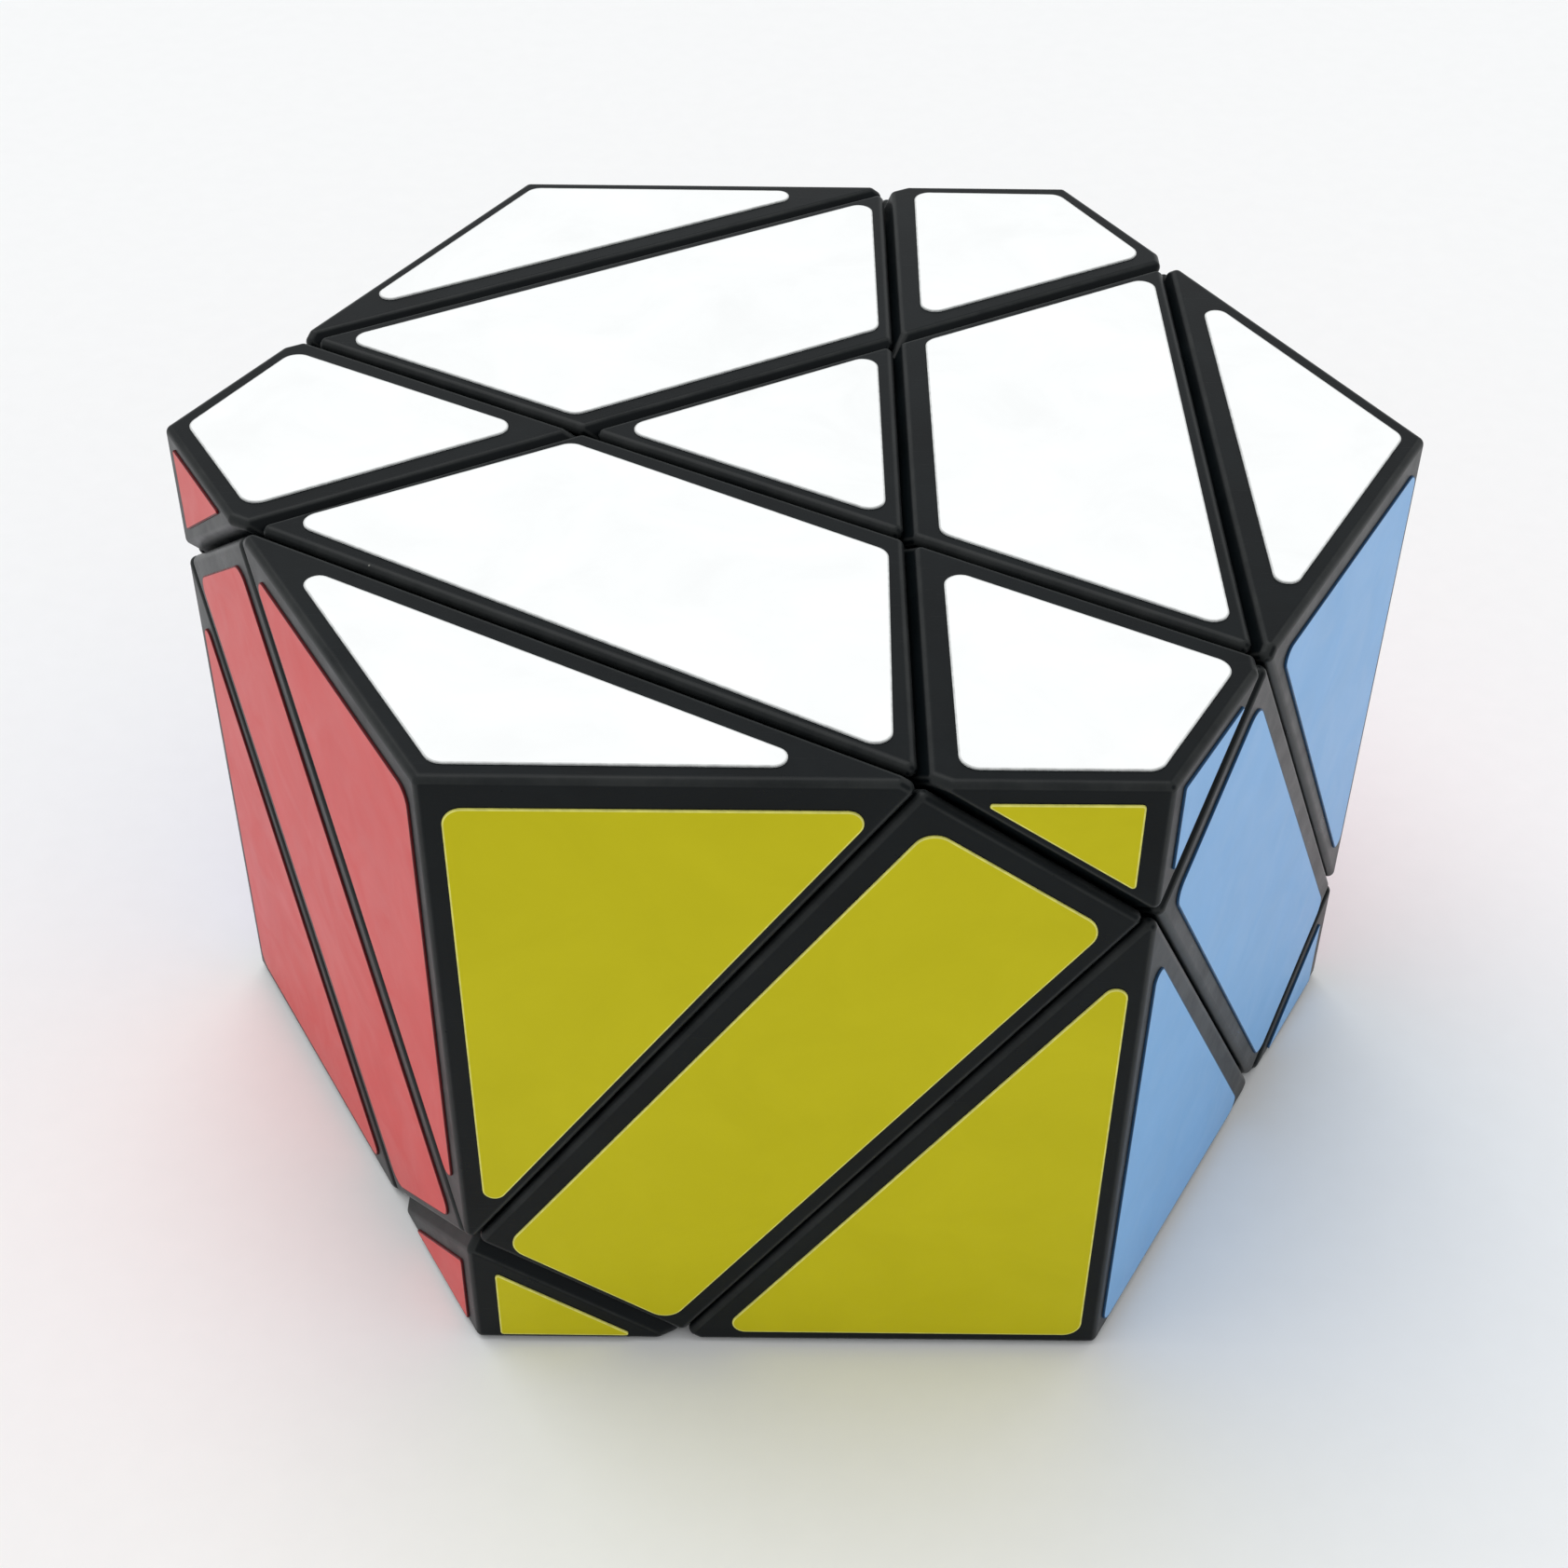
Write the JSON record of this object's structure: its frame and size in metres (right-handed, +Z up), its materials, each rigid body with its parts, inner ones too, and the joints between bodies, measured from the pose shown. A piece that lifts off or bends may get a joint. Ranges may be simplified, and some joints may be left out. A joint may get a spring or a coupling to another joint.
{
  "type": "hexagonal prism twisty puzzle",
  "caption": "Hexagonal prism puzzle in black plastic with coloured stickers; its layers turn about slanted axes like those of a cube puzzle.",
  "frame": {"origin": "middle of the bottom face, on the plane of the bottom stickers that the puzzle rests on", "axes": "+Z up along the prism; +X to the vertical edge between the two right-hand side faces; -Y out of the front side face (yellow)"},
  "size_m": [0.096, 0.0836, 0.0573],
  "materials": {
    "body_plastic": "smooth black injection-moulded plastic with polished edges",
    "core_plastic": "satin natural nylon",
    "screw_steel": "zinc-plated steel",
    "spring_steel": "drawn spring wire",
    "washer_steel": "stamped steel",
    "sticker_sets": "satin vinyl stickers, one colour for each face",
    "sticker_white": "satin white vinyl",
    "sticker_yellow": "satin yellow vinyl",
    "sticker_red": "satin red vinyl",
    "sticker_blue": "satin blue vinyl",
    "sticker_green": "satin green vinyl",
    "sticker_orange": "satin orange vinyl",
    "sticker_purple": "satin purple vinyl",
    "sticker_pink": "satin pink vinyl"
  },
  "bodies": {
    "core": {"core": "core_plastic", "screws": "screw_steel", "springs": "spring_steel", "washers": "washer_steel"},
    "centre_front_right": {"centre_stem_front_right": "body_plastic", "centre_cap_front_right": "body_plastic", "stickers_centre_front_right": "sticker_sets"},
    "centre_back_right": {"centre_stem_back_right": "body_plastic", "centre_cap_back_right": "body_plastic", "stickers_centre_back_right": "sticker_sets"},
    "centre_left": {"centre_stem_left": "body_plastic", "centre_cap_left": "body_plastic", "stickers_centre_left": "sticker_sets"},
    "centre_back_left_low": {"centre_stem_back_left_low": "body_plastic", "centre_cap_back_left_low": "body_plastic", "stickers_centre_back_left_low": "sticker_sets"},
    "centre_front_left_low": {"centre_stem_front_left_low": "body_plastic", "centre_cap_front_left_low": "body_plastic", "stickers_centre_front_left_low": "sticker_sets"},
    "centre_right_low": {"centre_stem_right_low": "body_plastic", "centre_cap_right_low": "body_plastic", "stickers_centre_right_low": "sticker_sets"},
    "edge_top_right": {"edge_top_right": "body_plastic", "sticker_edge_top_right": "sticker_white"},
    "edge_top_front_left": {"edge_top_front_left": "body_plastic", "sticker_edge_top_front_left": "sticker_white"},
    "edge_top_back_left": {"edge_top_back_left": "body_plastic", "sticker_edge_top_back_left": "sticker_white"},
    "edge_bottom_left": {"edge_bottom_left": "body_plastic", "sticker_edge_bottom_left": "sticker_green"},
    "edge_bottom_back_right": {"edge_bottom_back_right": "body_plastic", "sticker_edge_bottom_back_right": "sticker_green"},
    "edge_bottom_front_right": {"edge_bottom_front_right": "body_plastic", "sticker_edge_bottom_front_right": "sticker_green"},
    "edge_side_front": {"edge_side_front": "body_plastic", "sticker_edge_side_front": "sticker_yellow"},
    "edge_side_front_right": {"edge_side_front_right": "body_plastic", "sticker_edge_side_front_right": "sticker_blue"},
    "edge_side_back_right": {"edge_side_back_right": "body_plastic", "sticker_edge_side_back_right": "sticker_pink"},
    "edge_side_back": {"edge_side_back": "body_plastic", "sticker_edge_side_back": "sticker_orange"},
    "edge_side_back_left": {"edge_side_back_left": "body_plastic", "sticker_edge_side_back_left": "sticker_purple"},
    "edge_side_front_left": {"edge_side_front_left": "body_plastic", "sticker_edge_side_front_left": "sticker_red"},
    "corner_top": {"corner_top": "body_plastic"},
    "corner_bottom": {"corner_bottom": "body_plastic"},
    "corner_front_left_top": {"corner_front_left_top": "body_plastic", "stickers_corner_front_left_top": "sticker_sets"},
    "corner_right_top": {"corner_right_top": "body_plastic", "stickers_corner_right_top": "sticker_sets"},
    "corner_back_left_top": {"corner_back_left_top": "body_plastic", "stickers_corner_back_left_top": "sticker_sets"},
    "corner_left_bottom": {"corner_left_bottom": "body_plastic", "stickers_corner_left_bottom": "sticker_sets"},
    "corner_front_right_bottom": {"corner_front_right_bottom": "body_plastic", "stickers_corner_front_right_bottom": "sticker_sets"},
    "corner_back_right_bottom": {"corner_back_right_bottom": "body_plastic", "stickers_corner_back_right_bottom": "sticker_sets"}
  },
  "joints": [
    {"name": "turn_front_right", "type": "hinge", "parent": "core", "child": "centre_front_right", "pos_m": [0, 0, 0.02867], "axis": [0.4082, -0.7071, 0.5774], "continuous": true},
    {"name": "turn_back_right", "type": "hinge", "parent": "core", "child": "centre_back_right", "pos_m": [0, 0, 0.02867], "axis": [0.4082, 0.7071, 0.5774], "continuous": true},
    {"name": "turn_left", "type": "hinge", "parent": "core", "child": "centre_left", "pos_m": [0, 0, 0.02867], "axis": [-0.8165, 0, 0.5774], "continuous": true},
    {"name": "turn_back_left_low", "type": "hinge", "parent": "core", "child": "centre_back_left_low", "pos_m": [0, 0, 0.02867], "axis": [0.4082, -0.7071, 0.5774], "continuous": true},
    {"name": "turn_front_left_low", "type": "hinge", "parent": "core", "child": "centre_front_left_low", "pos_m": [0, 0, 0.02867], "axis": [0.4082, 0.7071, 0.5774], "continuous": true},
    {"name": "turn_right_low", "type": "hinge", "parent": "core", "child": "centre_right_low", "pos_m": [0, 0, 0.02867], "axis": [-0.8165, 0, 0.5774], "continuous": true},
    {"name": "edge_top_right_turn", "type": "hinge", "parent": "centre_front_right", "child": "edge_top_right", "pos_m": [0, 0, 0.02867], "axis": [0.4082, 0.7071, 0.5774], "continuous": true},
    {"name": "edge_top_front_left_turn", "type": "hinge", "parent": "centre_left", "child": "edge_top_front_left", "pos_m": [0, 0, 0.02867], "axis": [0.4082, -0.7071, 0.5774], "continuous": true},
    {"name": "edge_top_back_left_turn", "type": "hinge", "parent": "centre_back_right", "child": "edge_top_back_left", "pos_m": [0, 0, 0.02867], "axis": [-0.8165, 0, 0.5774], "continuous": true},
    {"name": "edge_bottom_left_turn", "type": "hinge", "parent": "centre_back_left_low", "child": "edge_bottom_left", "pos_m": [0, 0, 0.02867], "axis": [0.4082, 0.7071, 0.5774], "continuous": true},
    {"name": "edge_bottom_back_right_turn", "type": "hinge", "parent": "centre_right_low", "child": "edge_bottom_back_right", "pos_m": [0, 0, 0.02867], "axis": [0.4082, -0.7071, 0.5774], "continuous": true},
    {"name": "edge_bottom_front_right_turn", "type": "hinge", "parent": "centre_front_left_low", "child": "edge_bottom_front_right", "pos_m": [0, 0, 0.02867], "axis": [-0.8165, 0, 0.5774], "continuous": true},
    {"name": "edge_side_front_turn", "type": "hinge", "parent": "centre_front_right", "child": "edge_side_front", "pos_m": [0, 0, 0.02867], "axis": [0.4082, 0.7071, 0.5774], "continuous": true},
    {"name": "edge_side_front_right_turn", "type": "hinge", "parent": "centre_right_low", "child": "edge_side_front_right", "pos_m": [0, 0, 0.02867], "axis": [0.4082, -0.7071, 0.5774], "continuous": true},
    {"name": "edge_side_back_right_turn", "type": "hinge", "parent": "centre_back_right", "child": "edge_side_back_right", "pos_m": [0, 0, 0.02867], "axis": [-0.8165, 0, 0.5774], "continuous": true},
    {"name": "edge_side_back_turn", "type": "hinge", "parent": "centre_back_left_low", "child": "edge_side_back", "pos_m": [0, 0, 0.02867], "axis": [0.4082, 0.7071, 0.5774], "continuous": true},
    {"name": "edge_side_back_left_turn", "type": "hinge", "parent": "centre_left", "child": "edge_side_back_left", "pos_m": [0, 0, 0.02867], "axis": [0.4082, -0.7071, 0.5774], "continuous": true},
    {"name": "edge_side_front_left_turn", "type": "hinge", "parent": "centre_front_left_low", "child": "edge_side_front_left", "pos_m": [0, 0, 0.02867], "axis": [-0.8165, 0, 0.5774], "continuous": true},
    {"name": "corner_top_turn", "type": "hinge", "parent": "edge_top_right", "child": "corner_top", "pos_m": [0, 0, 0.02867], "axis": [-0.8165, 0, 0.5774], "continuous": true},
    {"name": "corner_bottom_turn", "type": "hinge", "parent": "edge_bottom_left", "child": "corner_bottom", "pos_m": [0, 0, 0.02867], "axis": [-0.8165, 0, 0.5774], "continuous": true},
    {"name": "corner_front_left_top_turn", "type": "hinge", "parent": "edge_side_front", "child": "corner_front_left_top", "pos_m": [0, 0, 0.02867], "axis": [-0.8165, 0, 0.5774], "continuous": true},
    {"name": "corner_right_top_turn", "type": "hinge", "parent": "edge_top_right", "child": "corner_right_top", "pos_m": [0, 0, 0.02867], "axis": [-0.8165, 0, 0.5774], "continuous": true},
    {"name": "corner_back_left_top_turn", "type": "hinge", "parent": "edge_side_back", "child": "corner_back_left_top", "pos_m": [0, 0, 0.02867], "axis": [-0.8165, 0, 0.5774], "continuous": true},
    {"name": "corner_left_bottom_turn", "type": "hinge", "parent": "edge_bottom_left", "child": "corner_left_bottom", "pos_m": [0, 0, 0.02867], "axis": [-0.8165, 0, 0.5774], "continuous": true},
    {"name": "corner_front_right_bottom_turn", "type": "hinge", "parent": "edge_side_front", "child": "corner_front_right_bottom", "pos_m": [0, 0, 0.02867], "axis": [-0.8165, 0, 0.5774], "continuous": true},
    {"name": "corner_back_right_bottom_turn", "type": "hinge", "parent": "edge_side_back", "child": "corner_back_right_bottom", "pos_m": [0, 0, 0.02867], "axis": [-0.8165, 0, 0.5774], "continuous": true}
  ],
  "couplings": [
    {"joint": "edge_top_right_turn", "follows": "turn_back_right", "ratio": 1},
    {"joint": "edge_top_front_left_turn", "follows": "turn_front_right", "ratio": 1},
    {"joint": "edge_top_back_left_turn", "follows": "turn_left", "ratio": 1},
    {"joint": "edge_bottom_left_turn", "follows": "turn_front_left_low", "ratio": 1},
    {"joint": "edge_bottom_back_right_turn", "follows": "turn_back_left_low", "ratio": 1},
    {"joint": "edge_bottom_front_right_turn", "follows": "turn_right_low", "ratio": 1},
    {"joint": "edge_side_front_turn", "follows": "turn_front_left_low", "ratio": 1},
    {"joint": "edge_side_front_right_turn", "follows": "turn_front_right", "ratio": 1},
    {"joint": "edge_side_back_right_turn", "follows": "turn_right_low", "ratio": 1},
    {"joint": "edge_side_back_turn", "follows": "turn_back_right", "ratio": 1},
    {"joint": "edge_side_back_left_turn", "follows": "turn_back_left_low", "ratio": 1},
    {"joint": "edge_side_front_left_turn", "follows": "turn_left", "ratio": 1},
    {"joint": "corner_top_turn", "follows": "turn_left", "ratio": 1},
    {"joint": "corner_bottom_turn", "follows": "turn_right_low", "ratio": 1},
    {"joint": "corner_front_left_top_turn", "follows": "turn_left", "ratio": 1},
    {"joint": "corner_right_top_turn", "follows": "turn_right_low", "ratio": 1},
    {"joint": "corner_back_left_top_turn", "follows": "turn_left", "ratio": 1},
    {"joint": "corner_left_bottom_turn", "follows": "turn_left", "ratio": 1},
    {"joint": "corner_front_right_bottom_turn", "follows": "turn_right_low", "ratio": 1},
    {"joint": "corner_back_right_bottom_turn", "follows": "turn_right_low", "ratio": 1}
  ]
}
